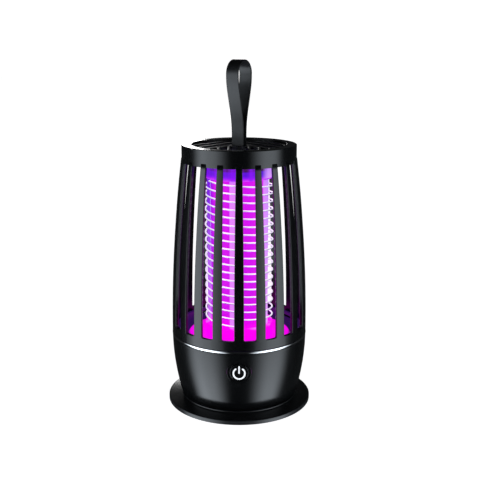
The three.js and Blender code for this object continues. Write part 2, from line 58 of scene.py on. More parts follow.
BELLY_Z, BELLY_R, LOWER_ARC, UPPER_ARC = 60.0, 55.4, 186.0, 1086.0
FOOT_R, FOOT_LOW, FOOT_EDGE, FOOT_TOP = 59.3, 0.8, 4.3, 6.4
FEET_PITCH, SCREWS_PITCH = 50, 36
SHELL_TOP, SHELL_WALL = 58.3, 2.2
TRIM_R, TRIM_Z = (51.4, 55.6), (58.6, 60.3)
BARS, SLOT, BAR_DEPTH, SLOT_FILLET = 20, 9.4, 2.8, 1.3
SILL, HEAD, BAR_TOP, BAND_BOTTOM = 68.6, 201.4, 204.4, 60.6
LEAN_FROM, LEAN = 150, 0.008  # the bars lean out of the barrel above here, and end proud of the head
RING_R, RIM_R, RING_TOP = 45.9, 38.0, 215.0
GRILLE_TOP, GRILLE_LOW, GRILLE_R, HUB_R, RIB = 213.9, 211.4, 37.7, 8.6, 2.4
FRONT_PITCH, FRONT_EACH, FRONT_EDGE = 7.9, 3, 35
SLANT, SLANT_WIDTH, SLANT_OFFSETS = 48, 4.2, (7.5, 18.0, 28.5)
BUTTON_Z, SOCKET_Z = 42.7, 27.7
MARK_Z, MARK_R, MARK_HALF, MARK_OPENING, MARK_BAR = 42.1, 4.5, 0.6, 37, (0.4, 5.5)
COIL_R, WIRE_R, COIL_LOW, COIL_PITCH, TURNS = 27.3, 0.66, 70.7, 12.72, 9 + 1 / 6
COLLAR_R, COLLAR_TOP, CAP_Z = 27.8, 68.2, (189, 201.5)
POSTS, POST_FIRST, POST_R, POST_TOP, TENON_TOP = 5, -102.0, (23.4, 25.8), 188.7, 199.2
TUBE_R, TUBE_Z = (21.3, 23.1), (61.3, 199.2)
STRAP_TURN, STRAP_WIDTH, STRAP_THICK, LOOP_Z, LOOP_R = 60.0, 11.0, 1.4, 269.6, 10.4
CAMERA_FOCUS = 848.24 / 480  # focal length in picture widths


def barrel(z):
    """Radius of the body's curved side at a height."""
    bow = LOWER_ARC if z < BELLY_Z else UPPER_ARC
    return BELLY_R - (z - BELLY_Z) ** 2 / (2 * bow)


def polar(r, degrees, z):
    return (r * math.cos(degrees * DEG), r * math.sin(degrees * DEG), z)


def steps(low, high, count):
    return [low + (high - low) * i / count for i in range(count + 1)]


# ---- meshes ----


def piece(name, bm, material, body, nodes=(), sharp=35):
    """A mesh piece in millimetres, smooth but for its sharp edges, that rides on a body."""
    bmesh.ops.remove_doubles(bm, verts=bm.verts, dist=1e-4)
    bmesh.ops.recalc_face_normals(bm, faces=bm.faces)
    bmesh.ops.scale(bm, vec=(MM, MM, MM), verts=bm.verts)
    mesh = bpy.data.meshes.new(name)
    bm.to_mesh(mesh)
    bm.free()
    mesh.polygons.foreach_set("use_smooth", [True] * len(mesh.polygons))
    mesh.set_sharp_from_angle(angle=sharp * DEG)
    mesh.materials.append(material)
    obj = bpy.data.objects.new(name, mesh)
    bpy.context.scene.collection.objects.link(obj)
    if body:
        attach(obj, body)
    if nodes:
        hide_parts(*nodes)
    return obj


def rounded(points, default=0.4, cuts=4):
    """A closed outline of (r, z) or (r, z, fillet) points with every corner off the axis rounded."""
    out = []
    count = len(points)
    for i, point in enumerate(points):
        here = Vector(point[:2])
        fillet = point[2] if len(point) > 2 else default
        before = Vector(points[i - 1][:2]) - here
        after = Vector(points[(i + 1) % count][:2]) - here
        if here.x < 1e-6 or fillet <= 0 or before.length < 1e-6 or after.length < 1e-6:
            out.append(tuple(here))
            continue
        half = before.angle(after) / 2
        if half > 86 * DEG:
            out.append(tuple(here))
            continue
        reach = min(fillet / math.tan(half), 0.45 * before.length, 0.45 * after.length)
        a, b = here + before.normalized() * reach, here + after.normalized() * reach
        hold = 0.12 * reach
        out.append(tuple(a + before.normalized() * hold))
        for t in steps(0, 1, cuts):
            out.append(tuple(a * (1 - t) ** 2 + here * 2 * t * (1 - t) + b * t**2))
        out.append(tuple(b + after.normalized() * hold))
    return out


def lathe(outline, segments=128, bm=None, turn=None):
    """A closed outline turned about Z, or about the axis that the turn matrix lays Z along."""
    bm = bm or bmesh.new()
    rings = []
    for r, z in outline:
        count = 1 if r < 1e-6 else segments
        rings.append([bm.verts.new(polar(r, 360 * i / segments, z)) for i in range(count)])
    for low, high in zip(rings, rings[1:] + rings[:1]):
        if len(low) == 1 and len(high) == 1:
            continue
        for i in range(segments):
            j = (i + 1) % segments
            corners = [low[i % len(low)], low[j % len(low)], high[j % len(high)], high[i % len(high)]]
            bm.faces.new(list(dict.fromkeys(corners)))
    if turn:
        bmesh.ops.transform(bm, matrix=turn, verts=[v for ring in rings for v in ring])
    return bm


def prism(outline, low, high, bm=None, matrix=None):
    """A closed outline of (x, y) points made thick from one height to another."""
    bm = bm or bmesh.new()
    floor = [bm.verts.new((x, y, low)) for x, y in outline]
    roof = [bm.verts.new((x, y, high)) for x, y in outline]
    bm.faces.new(floor[::-1])
    bm.faces.new(roof)
    for i in range(len(outline)):
        j = (i + 1) % len(outline)
        bm.faces.new([floor[i], floor[j], roof[j], roof[i]])
    if matrix:
        bmesh.ops.transform(bm, matrix=matrix, verts=floor + roof)
    return bm


def cuboid(x, y, z, bm=None, matrix=None):
    return prism([(x[0], y[0]), (x[1], y[0]), (x[1], y[1]), (x[0], y[1])], z[0], z[1], bm, matrix)


def sweep(path, section, bm=None, closed=False):
    """A closed section of (across, out) points carried along a path of (point, across, out) entries."""
    bm = bm or bmesh.new()
    rings = [
        [bm.verts.new(Vector(p) + Vector(a) * u + Vector(o) * v) for u, v in section]
        for p, a, o in path
    ]
    pairs = list(zip(rings, rings[1:])) + ([(rings[-1], rings[0])] if closed else [])
    for low, high in pairs:
        for i in range(len(section)):
            j = (i + 1) % len(section)
            bm.faces.new([low[i], low[j], high[j], high[i]])
    if not closed:
        bm.faces.new(rings[0][::-1])
        bm.faces.new(rings[-1])
    return bm


def rod(start, end, section, bm):
    """A straight bar with that section, its out direction upwards."""
    along = (Vector(end) - Vector(start)).normalized()
    across = along.cross(Vector((0, 0, 1)))
    return sweep([(p, across, (0, 0, 1)) for p in (start, end)], section, bm)


def arc(center, r, start, end, cuts):
    """Points of an arc between two bearings."""
    x, y = center
    return [(x + r * math.cos(a * DEG), y + r * math.sin(a * DEG)) for a in steps(start, end, cuts)]


def rounded_box(width, low, high, fillet=0.5):
    """Section of a bar: (across, out) with its upper corners rounded."""
    half = width / 2
    right = arc((half - fillet, high - fillet), fillet, 0, 90, 4)
    return [(-half, low), (half, low)] + right + [(-x, y) for x, y in reversed(right)]


def merge(bm, other):
    """Moves the other mesh's faces into bm."""
    mesh = bpy.data.meshes.new("merged")
    other.to_mesh(mesh)
    other.free()
    bm.from_mesh(mesh)
    bpy.data.meshes.remove(mesh)


def circle(r, sides):
    return [polar(r, 360 * i / sides, 0)[:2] for i in range(sides)]


def applied(obj):
    """Bakes an object's modifiers into its mesh."""
    graph = bpy.context.evaluated_depsgraph_get()
    mesh = bpy.data.meshes.new_from_object(obj.evaluated_get(graph))
    obj.modifiers.clear()
    obj.data = mesh


def cut(obj, cutter_bm, sharp=35):
    """Takes the cutter away from an object."""
    cutter = piece("cutter", cutter_bm, obj.data.materials[0], None)
    boolean = obj.modifiers.new("cut", "BOOLEAN")
    boolean.operation = "DIFFERENCE"
    boolean.solver = "EXACT"
    boolean.use_self = True
    boolean.object = cutter
    applied(obj)
    bpy.data.objects.remove(cutter)
    obj.data.set_sharp_from_angle(angle=sharp * DEG)


def about_z(degrees, size=4):
    return Matrix.Rotation(degrees * DEG, size, "Z")


def facing_front(z):
    """Lays +Z along +Y, at that height."""
    return Matrix.Translation((0, 0, z)) @ Matrix.Rotation(-math.pi / 2, 4, "X")


# ---- materials ----


def value_node(nodes, links, kind, **inputs):
    node = nodes.new(kind)
    for name, given in inputs.items():
        socket = node.inputs[name.replace("_", " ")]
        if isinstance(given, bpy.types.NodeSocket):
            links.new(given, socket)
        else:
            socket.default_value = given
    return node


class Surface:
    """A node material in the making, with the object's own coordinates in metres."""

    def __init__(self, name):
        self.material = bpy.data.materials.new(name)
        self.material.use_nodes = True
        tree = self.material.node_tree
        self.nodes, self.links = tree.nodes, tree.links
        self.shader = self.nodes["Principled BSDF"]
        self.place = self.nodes.new("ShaderNodeTexCoord").outputs["Object"]

    def new(self, kind, **inputs):
        return value_node(self.nodes, self.links, kind, **inputs)

    def math(self, operation, a, b=0.0):
        node = self.nodes.new("ShaderNodeMath")
        node.operation = operation
        for socket, given in zip(node.inputs, (a, b)):
            if isinstance(given, bpy.types.NodeSocket):
                self.links.new(given, socket)
            else:
                socket.default_value = given
        return node.outputs[0]

    def noise(self, scale, detail=3.0, stretch=(1, 1, 1)):
        mapping = self.new("ShaderNodeMapping", Vector=self.place, Scale=stretch)
        node = self.new("ShaderNodeTexNoise", Vector=mapping.outputs[0], Scale=scale, Detail=detail)
        return node.outputs["Fac"]

    def ramp(self, fac, stops):
        """Colours or grey values at places from 0 to 1."""
        node = self.nodes.new("ShaderNodeValToRGB")
        elements = node.color_ramp.elements
        while len(elements) < len(stops):
            elements.new(0.5)
        for element, (place, color) in zip(elements, stops):
            element.position = place
            element.color = (*color, 1) if isinstance(color, tuple) else (color, color, color, 1)
        self.links.new(fac, node.inputs["Fac"])
        return node.outputs["Color"]

    def set(self, **inputs):
        for name, given in inputs.items():
            socket = self.shader.inputs[name.replace("_", " ")]
            if isinstance(given, bpy.types.NodeSocket):
                self.links.new(given, socket)
            elif isinstance(given, tuple) and len(given) == 3:
                socket.default_value = (*given, 1)
            else:
                socket.default_value = given

    def bump(self, height, strength, distance=MM * 0.1):
        node = self.new("ShaderNodeBump", Height=height, Strength=strength, Distance=distance)
        self.links.new(node.outputs[0], self.shader.inputs["Normal"])

    def mix(self, fac, a, b):
        node = self.nodes.new("ShaderNodeMix")
        node.data_type = "RGBA"
        for socket, given in zip((node.inputs[0], node.inputs[6], node.inputs[7]), (fac, a, b)):
            if isinstance(given, bpy.types.NodeSocket):
                self.links.new(given, socket)
            else:
                socket.default_value = (*given, 1) if isinstance(given, tuple) else given
        return node.outputs[2]

    def split(self):
        node = self.new("ShaderNodeSeparateXYZ", Vector=self.place)
        return node.outputs

    def edges(self, low=0.52, high=0.6):
        """1 on worn convex edges, 0 elsewhere, broken up by noise."""
        point = self.nodes.new("ShaderNodeNewGeometry").outputs["Pointiness"]
        edge = self.ramp(point, [(low, 0.0), (high, 1.0)])
        return self.math("MULTIPLY", edge, self.ramp(self.noise(900, 4), [(0.45, 0.0), (0.62, 1.0)]))


def moulded(name, dark, light, rough, spread, grain=2600, relief=0.12, wear=0.25):
    """Moulded plastic or rubber: mottled colour, uneven gloss, fine grain and edges rubbed lighter."""
    s = Surface(name)
    cloud = s.noise(60, 5)
    base = s.mix(s.ramp(cloud, [(0.3, 0.0), (0.7, 1.0)]), dark, light)
    worn = tuple(min(1.0, 2.6 * c + 0.015) for c in light)
    edge = s.math("MULTIPLY", s.edges(), wear)
    s.set(Base_Color=s.mix(edge, base, worn))
    smudge = s.ramp(s.noise(35, 6, (1, 1, 0.5)), [(0.35, rough - spread), (0.7, rough + spread)])
    s.set(Roughness=smudge)
    s.bump(s.math("ADD", s.noise(grain, 2), s.math("MULTIPLY", s.noise(140, 2), 0.35)), relief)
    return s


def brushed(name, dark, light, rough, stretch=(1, 1, 14), scale=500):
    """Metal with fine drawn lines."""
    s = Surface(name)
    lines = s.noise(scale, 4, stretch)
    s.set(Base_Color=s.mix(lines, dark, light), Metallic=1.0)
    s.set(Roughness=s.ramp(lines, [(0.3, rough * 0.7), (0.7, rough * 1.4)]))
    s.bump(lines, 0.15, MM * 0.05)
    return s


def height_share(s, low, high):
    """0 at one height and 1 at another, in millimetres."""
    z = s.split()[2]
    return s.math("DIVIDE", s.math("SUBTRACT", z, low * MM), (high - low) * MM)


MAGENTA, FUCHSIA, PINK = (1.0, 0.0, 0.9), (0.66, 0.0, 0.78), (0.74, 0.23, 0.92)
# the third colour on the next line is the painted shade on the lamp's left side
VIOLET, BLUE, SHADE_BLUE, UNLIT = (0.22, 0.0, 0.88), (0.055, 0.0, 0.64), (0.13, 0.0, 0.7), (0.004, 0.0, 0.02)
# pale colours of the painted reflection on the lamp's right side
REFLECTION_LAVENDER, REFLECTION_BLUE_LAVENDER = (0.76, 0.4, 0.95), (0.5, 0.27, 1.0)
LAMP_SPAN = 60  # width over which the painted shade on the left and the painted reflection on the right are placed


def lit(name, stops, low, high, streaks=0.0):
    """Plastic lit from inside: the colour runs up the lamp, with painted shade that makes it bluer on its
    left side and a painted reflection that makes it paler on its right.
    """
    s = Surface(name)
    wander = s.math("MULTIPLY", s.math("SUBTRACT", s.noise(70, 2), 0.5), 0.06)
    place = s.math("ADD", height_share(s, low, high), wander)
    color = s.ramp(place, stops)
    if streaks:
        stripe = s.ramp(s.noise(260, 2, (1, 1, 0.02)), [(0.42, 0.0), (0.58, 1.0)])
        color = s.mix(s.math("MULTIPLY", stripe, streaks), color, VIOLET)
    across = s.math("ADD", s.math("DIVIDE", s.split()[0], LAMP_SPAN * MM), 0.5)
    # painted reflection of the right-hand light: a pale lavender veil up the lamp's right side
    pale = s.mix(s.ramp(place, [(0.0, 0.0), (0.4, 0.35), (0.95, 1.0)]), REFLECTION_LAVENDER, REFLECTION_BLUE_LAVENDER)
    right = s.ramp(across, [(0.8, 0.0), (0.88, 0.85)])
    color = s.mix(s.math("MULTIPLY", right, s.ramp(place, [(0.06, 0.0), (0.1, 1.0)])), color, pale)
    # painted shade: bluer and darker on the lamp's left side, more so higher up
    left = s.ramp(across, [(0.1, 1.0), (0.19, 0.0)])
    shade_rise = s.ramp(place, [(0.06, 0.0), (0.14, 0.35), (0.5, 0.6), (0.9, 1.0)])
    color = s.mix(s.math("MULTIPLY", left, shade_rise), color, SHADE_BLUE)
    s.set(Base_Color=(0.1, 0.0, 0.1), Roughness=0.6, Specular_IOR_Level=0.25)
    s.set(Emission_Color=color, Emission_Strength=1.0)
    s.bump(s.noise(900, 3), 0.1)
    return s


gloss = moulded(
    "gloss_black_plastic", (0.001, 0.0012, 0.0014), (0.002, 0.0023, 0.0026), 0.2, 0.03, relief=0.04
)
foot_gloss = moulded(
    "foot_black_plastic", (0.008, 0.0085, 0.0092), (0.012, 0.0127, 0.014), 0.24, 0.04, relief=0.05
)
satin = moulded("satin_black_plastic", (0.004, 0.0043, 0.0046), (0.007, 0.0074, 0.008), 0.42, 0.05)
rubber = moulded("foot_rubber", (0.012, 0.012, 0.012), (0.022, 0.022, 0.023), 0.78, 0.06, 1500, 0.5, 0.1)
silicone = moulded("strap_rubber", (0.003, 0.0034, 0.0037), (0.005, 0.0055, 0.006), 0.4, 0.04, 3200, 0.2, 0.3)
cell = moulded("battery_wrap", (0.03, 0.14, 0.4), (0.05, 0.2, 0.5), 0.35, 0.06)
tape = moulded("coil_tape", (0.5, 0.3, 0.04), (0.72, 0.46, 0.09), 0.45, 0.08, 700, 0.4)
white = moulded("white_plastic", (0.8, 0.8, 0.78), (0.9, 0.9, 0.88), 0.4, 0.05)
board = moulded("circuit_board", (0.008, 0.06, 0.02), (0.02, 0.12, 0.045), 0.4, 0.08, 500, 0.6)
steel = brushed("drawn_steel", (0.5, 0.51, 0.53), (0.74, 0.75, 0.77), 0.3)
brass = brushed("brass", (0.6, 0.4, 0.15), (0.85, 0.62, 0.3), 0.32)
chrome = brushed("polished_chrome", (0.78, 0.79, 0.8), (0.9, 0.9, 0.91), 0.09, (1, 1, 30), 300)
mark = moulded("white_mark", (0.78, 0.8, 0.82), (0.88, 0.9, 0.92), 0.4, 0.04, 1800, 0.15)
mark.set(Emission_Color=(0.9, 0.95, 1.0), Emission_Strength=0.3)
tube_glow = lit(
    "lamp_tube_glow", [(0.0, MAGENTA), (0.07, MAGENTA), (0.14, FUCHSIA), (1.0, FUCHSIA)], 59, 200, 0.12
)
post_glow = lit(
    "grid_post_glow", [(0.0, MAGENTA), (0.066, MAGENTA), (0.08, PINK), (0.9, PINK), (1.0, VIOLET)], 59, 199
)
# the cap's glow fades upwards through blue to near black at its top: painted shade under the cage's head
cap_stops = [
    (0.0, (0.7, 0.08, 1.0)), (0.1, (0.5, 0.01, 0.92)), (0.22, (0.16, 0.0, 0.84)), (0.36, BLUE), (0.54, BLUE),
    (0.62, UNLIT),
]  # fmt: skip
cap_glow = lit("grid_cap_glow", cap_stops, *CAP_Z, 0.7)


def wire_surface():
    """Bare steel wire whose emission follows the normal's height: a painted white highlight on top and
    painted dark blue shade underneath.
    """
    s = brushed("grid_wire_steel", (0.75, 0.75, 0.78), (0.95, 0.95, 0.97), 0.35)
    normal = s.nodes.new("ShaderNodeNewGeometry").outputs["Normal"]
    up = s.new("ShaderNodeSeparateXYZ", Vector=normal).outputs[2]
    upward = s.math("ADD", s.math("MULTIPLY", up, 0.5), 0.5)
    # painted highlight and shade: white emission where the normal points up, dark blue where it points down
    painted_light_ramp = s.ramp(upward, [(0.42, (0.02, 0.0, 0.16)), (0.52, (0.12, 0.03, 0.5)), (0.64, (0.92, 0.84, 1.0))])
    s.set(Emission_Color=painted_light_ramp, Emission_Strength=0.9)
    return s


wire = wire_surface()


def deck_surface():
    """Lit disc inside; outside it the dark neck, given a faint painted blue glow."""
    s = Surface("deck_glow")
    x, y = s.split()[0], s.split()[1]
    r = s.math("SQRT", s.math("ADD", s.math("MULTIPLY", x, x), s.math("MULTIPLY", y, y)))
    inside = s.ramp(s.math("MULTIPLY", r, 10), [(0.405, 1.0), (0.425, 0.0)])
    mottled = s.mix(s.ramp(s.noise(120, 4), [(0.35, 0.0), (0.65, 1.0)]), (0.85, 0.0, 0.8), MAGENTA)
    s.set(Base_Color=s.mix(inside, (0.02, 0.008, 0.04), (0.1, 0.0, 0.1)), Roughness=0.3)
    # the neck outside the disc glows a faint blue: painted light for the bluish reflection in the bars' sides
    s.set(Emission_Color=s.mix(inside, (0.02, 0.004, 0.06), mottled), Emission_Strength=1.0)
    s.bump(s.noise(700, 3), 0.15)
    return s


deck_glow = deck_surface()

# ---- base ----


def quarter_bearings():
    """The four bearings that the feet, the screws and the bayonet share."""
    return [45 + 90 * k for k in range(4)]


def build_foot():
    outline = [
        (0, 2.8), (42, 2.8, 0.5), (42, FOOT_LOW, 0.4), (FOOT_R, FOOT_LOW, 0.45), (FOOT_R, FOOT_EDGE, 0.8),
        (48.0, 6.35, 0.15), (47.9, 7.2, 0.35), (47.1, 7.2, 0.2), (46.9, 6.5, 0.1), (45.0, FOOT_TOP, 0.3),
        (0, FOOT_TOP),
    ]  # fmt: skip
    bm = lathe(rounded(outline), 160)
    foot = piece("foot_disc", bm, foot_gloss.material, "base", ["foot_plate"])
    pocket, screw_head, screw_shank = (FEET_PITCH, 5.3, 2.3), (SCREWS_PITCH, 2.9, 5.3), (SCREWS_PITCH, 1.6, 8)
    holes = bmesh.new()
    for bearing in quarter_bearings():
        for x, r, top in (pocket, screw_head, screw_shank):
            spot = about_z(bearing) @ Matrix.Translation((x, 0, 0))
            lathe([(0, -1), (r, -1), (r, top), (0, top)], 32, holes, spot)
    cut(foot, holes)


def slot_outline(width, height, cuts=10):
    r = height / 2
    middle = width / 2 - r
    return arc((middle, 0), r, -90, 90, cuts) + arc((-middle, 0), r, 90, 270, cuts)


def build_shell():
    outer = [(barrel(z), z) for z in steps(9.2, 57.7, 30)]
    inner = [(barrel(z) - SHELL_WALL, z) for z in reversed(steps(8.6, 50, 12))]
    top = barrel(SHELL_TOP)
    lip = [(top - 0.1, SHELL_TOP - 0.2), (top - 0.45, SHELL_TOP), (top - SHELL_WALL, SHELL_TOP)]
    ledge = [(top - SHELL_WALL, 52), (49.5, 52), (49.5, 50.4)]
    fillet = [(45.5, 7.4), (46.4, 7.4), (47.0, 7.5), (47.6, 7.85), (48.0, 8.5)]
    bm = lathe(fillet + outer + lip + ledge + inner, 192)
    shell = piece("base_barrel", bm, gloss.material, "base", ["base_shell"])
    cut(shell, lathe([(0, -62), (9.9, -62), (9.9, -46), (0, -46)], 96, None, facing_front(BUTTON_Z)))
    cut(shell, prism(slot_outline(9.6, 3.9), 44, 62, None, facing_front(SOCKET_Z)))


def build_trim():
    (inner, outer), (low, high) = TRIM_R, TRIM_Z
    belly = (outer, (low + high) / 2, 0.5)
    outline = [(inner, low), (outer - 0.15, low, 0.2), belly, (outer - 0.15, high, 0.2), (inner, high)]
    bm = lathe(rounded(outline, 0.15), 192)
    piece("trim_band", bm, chrome.material, "trim_ring", ["trim_ring"])


def build_deck():
    """The lit disc with a trough round it and the neck, which has four L-shaped bayonet slots."""
    outline = [
        (10, 56.5), (10, 58.7), (41.5, 58.7, 0.6), (43, 56.2, 0.4), (48.8, 56.2, 0.5), (48.8, 66, 0.4),
        (51, 66, 0.4), (51, 52.3), (47.8, 52.3), (47.8, 54), (41.6, 54), (40.2, 56.5),
    ]  # fmt: skip
    bm = lathe(rounded(outline), 128)
    deck = piece("lit_deck", bm, deck_glow.material, "base", ["deck"])
    entry, under_roof = 67, 63.4
    slots = bmesh.new()
    for bearing in quarter_bearings():
        for turn, top in ((0, entry), (-6, under_roof), (-12, under_roof), (-18, under_roof)):
            cuboid((46.8, 53), (-3.5, 3.5), (60.4, top), slots, about_z(bearing + turn))
    cut(deck, slots)


# ---- button ----


def power_ring(half):
    """Outline of the mark's open ring, with round ends."""
    first, last = 90 + MARK_OPENING, 450 - MARK_OPENING
    outer = arc((0, 0), MARK_R + half, first, last, 60)
    inner = arc((0, 0), MARK_R - half, last, first, 60)
    last_end = arc(polar(MARK_R, last, 0)[:2], half, last, last + 180, 8)
    first_end = arc(polar(MARK_R, first, 0)[:2], half, first + 180, first + 360, 8)
    return outer + last_end + inner + first_end


def power_bar(half):
    low, high = MARK_BAR
    return arc((0, high), half, 0, 180, 10) + arc((0, low), half, 180, 360, 10)


def build_button():
    to_front = facing_front(BUTTON_Z)
    outline = [(7.6, -53.85, 0.2), (9.6, -53.9, 0.3), (9.6, -51.5), (7.6, -51.5)]
    bezel = lathe(rounded(outline, 0.15), 96, None, to_front)
    piece("button_dish", bezel, gloss.material, "base", ["button_bezel"])
    outline = [
        (0, -54.1), (7.2, -54.0, 0.35), (7.3, -51.2, 0.1), (8.7, -51.2), (8.7, -50.4), (6.5, -50.4),
        (6.5, -52.9), (0, -52.9),
    ]  # fmt: skip
    cap = lathe(rounded(outline), 96, None, to_front)
    button = piece("button_cap", cap, gloss.material, "button", ["power_button"])
    upright = facing_front(MARK_Z) @ Matrix.Diagonal((1, -1, 1, 1))
    recess, inlay = bmesh.new(), bmesh.new()
    for shape in (power_ring, power_bar):
        prism(shape(MARK_HALF + 0.12), -56, -53.2, recess, upright)
        prism(shape(MARK_HALF), -54.12, -52.6, inlay, upright)
    cut(button, recess)
    piece("power_mark", inlay, mark.material, "button", ["button_light_guide"])


# ---- cage ----


def slot_half(z):
    """Half the slot's width: its lower corners are rounded."""
    up = min(max(z - SILL, 0), SLOT_FILLET)
    return SLOT / 2 - SLOT_FILLET + math.sqrt(SLOT_FILLET**2 - (SLOT_FILLET - up) ** 2)


def bar_face(z):
    """Radius of the cage's outer side, up to the bars' bevelled ends against the head."""
    return barrel(z) + LEAN * max(z - LEAN_FROM, 0) if z < BAR_TOP else RING_R - 0.1


def bar_offsets(half_turn, rim_turn, gap_turn):
    """Bearings across a bar, and past it across the gap where there is one."""
    bar = [-half_turn, -rim_turn, 0, rim_turn, half_turn]
    return bar + [half_turn + gap_turn * s for s in (0.12, 0.5, 0.88) if gap_turn]


def build_cage():
    """The band, the bars and their proud tops as one wall with windows."""
    corner = [SILL + SLOT_FILLET * s for s in (0, 0.06, 0.22, 0.5, 1)]
    rows = [BAND_BOTTOM, 62.5, 65, 67.6] + corner + steps(71.5, BAR_TOP - 0.5, 30) + [BAR_TOP]
    sill = rows.index(SILL)
    bm = bmesh.new()
    grid = {}
    pitch = 360 / BARS
    for j, z in enumerate(rows):
        outer = bar_face(z)
        half = math.pi * outer / BARS - slot_half(z)
        taper = 0.75
        for side, r, half_width in (("out", outer, half), ("in", outer - BAR_DEPTH, half - taper)):
            half_turn, rim_turn = half_width / r / DEG, (half_width - 0.9) / r / DEG
            gap_turn = pitch - 2 * half_turn if j <= sill else 0
            offsets = bar_offsets(half_turn, rim_turn, gap_turn)
            for k in range(BARS):
                for c, offset in enumerate(offsets):
                    grid[k, c, j, side] = bm.verts.new(polar(r, -90 + pitch * k + offset, z))

    def quad(*corners):
        bm.faces.new([grid[corner] for corner in corners])

    last = len(rows) - 1
    for k in range(BARS):
        n = (k + 1) % BARS
        bar = [(k, c) for c in range(5)]
        gap = [(k, 4), (k, 5), (k, 6), (k, 7), (n, 0)]
        for j in range(last):
            for strip in (bar, gap) if j < sill else (bar,):
                for a, b in zip(strip, strip[1:]):
                    quad((*a, j, "out"), (*b, j, "out"), (*b, j + 1, "out"), (*a, j + 1, "out"))
                    quad((*a, j, "in"), (*a, j + 1, "in"), (*b, j + 1, "in"), (*b, j, "in"))
            if j >= sill:
                for a in (bar[0], bar[-1]):
                    quad((*a, j, "out"), (*a, j + 1, "out"), (*a, j + 1, "in"), (*a, j, "in"))
        for j, strips in ((0, (bar, gap)), (sill, (gap,)), (last, (bar,))):
            for strip in strips:
                for a, b in zip(strip, strip[1:]):
                    quad((*a, j, "out"), (*b, j, "out"), (*b, j, "in"), (*a, j, "in"))
    nodes = ["cage_band"] + [f"cage_bar_{k + 1:02d}" for k in range(BARS)]
    for bearing in quarter_bearings():
        cuboid((49.6, 52.8), (-3, 3), (60.9, 62.9), bm, about_z(bearing))
    cage = piece("cage_wall", bm, gloss.material, "cage", nodes, 60)
    bevel = cage.modifiers.new("bevel", "BEVEL")
    bevel.width = 0.55 * MM
    bevel.segments = 3
    bevel.limit_method = "ANGLE"
    bevel.angle_limit = 50 * DEG
    bevel.use_clamp_overlap = False
    bevel.harden_normals = True
    applied(cage)


def build_ring():
    outline = [
        (43.1, HEAD, 0.3), (RING_R, HEAD, 0.4), (RING_R, RING_TOP, 0.5), (RIM_R, RING_TOP, 0.35),
        (RIM_R, 211.1, 0.2), (36.3, 211.1, 0.2), (36.3, 209.6, 0.2), (40, 209.6, 0.2), (40, 213, 0.2),
        (43.1, 213, 0.2),
    ]  # fmt: skip
    bm = lathe(rounded(outline), 192)
    piece("cage_head", bm, gloss.material, "cage", ["cage_top_ring"])


def hub(bm, r, low, high, half_depth, half_width, turn, sides=48):
    """A round boss with the strap's slot through it."""
    rings = []
    for z in (low, high):
        for inner in (True, False):
            ring = []
            for i in range(sides):
                c, s = math.cos(2 * math.pi * i / sides), math.sin(2 * math.pi * i / sides)
                reach = min(half_depth / max(abs(c), 1e-6), half_width / max(abs(s), 1e-6)) if inner else r
                ring.append(bm.verts.new(turn @ Vector((reach * c, reach * s, z))))
            rings.append(ring)
    for a, b in ((0, 1), (1, 3), (3, 2), (2, 0)):
        for i in range(sides):
            j = (i + 1) % sides
            bm.faces.new([rings[a][i], rings[a][j], rings[b][j], rings[b][i]])


def build_grille():
    """Ribs in three fields: front to back in the front one, slanted and mirrored in the two behind it."""
    bm = bmesh.new()
    low, high, rim = GRILLE_LOW, GRILLE_TOP, GRILLE_R - 2.1
    reach = rim + 1.05
    lathe(rounded([(rim, low), (GRILLE_R, low), (GRILLE_R, high), (rim, high)], 0.35), 128, bm)
    hub(bm, HUB_R, low, high, 2.9, 6.2, about_z(STRAP_TURN, 3))
    rib = rounded_box(RIB, low, high - 0.1, 0.6)
    arm = rounded_box(RIB, low, high - 0.05, 0.6)
    wide = rounded_box(SLANT_WIDTH, low, high - 0.15, 1.1)
    for k in range(-FRONT_EACH, FRONT_EACH + 1):
        x = FRONT_PITCH * k
        back = min(-abs(x) * math.tan(FRONT_EDGE * DEG), 1 - HUB_R)
        rod((x, -math.sqrt(reach**2 - x**2), 0), (x, back, 0), rib, bm)
    slant = Vector(polar(1, SLANT, 0)[:2])
    normal = Vector((-slant.y, slant.x))
    for offset in SLANT_OFFSETS:
        chord = math.sqrt(reach**2 - offset**2)
        start = -min(chord, offset / math.tan((SLANT - FRONT_EDGE) * DEG))
        end = min(chord, offset * slant.y / slant.x)
        for mirror in (1, -1):
            ends = [normal * offset + slant * s for s in (start, end)]
            rod(*[(mirror * p.x, p.y, 0) for p in ends], wide, bm)
    for bearing in (90, 180 + FRONT_EDGE, 360 - FRONT_EDGE):
        rod(polar(HUB_R - 1, bearing, 0), polar(reach, bearing, 0), arm, bm)
    piece("top_vents", bm, satin.material, "cage", ["top_grille"])


# ---- grid and lamp ----


def helix(start, per_turn=48):
    path = []
    for i in range(round(TURNS * per_turn) + 1):
        turn = i / per_turn
        bearing = start + 360 * turn
        point = polar(COIL_R, bearing, COIL_LOW + (TURNS - turn) * COIL_PITCH)
        path.append((point, polar(1, bearing, 0), (0, 0, 1)))
    return path


def grid_post():
    """One upright post along +X of the axis, and the thinner end that goes up into the cap."""
    upright = [((0, 0, z), (0, 1, 0), (1, 0, 0)) for z in (60, POST_TOP, TENON_TOP)]
    post = sweep(upright[:2], rounded_box(4.6, *POST_R, 0.6))
    return sweep(upright[1:], rounded_box(4.4, POST_R[0], POST_R[1] - 0.6, 0.4), post)


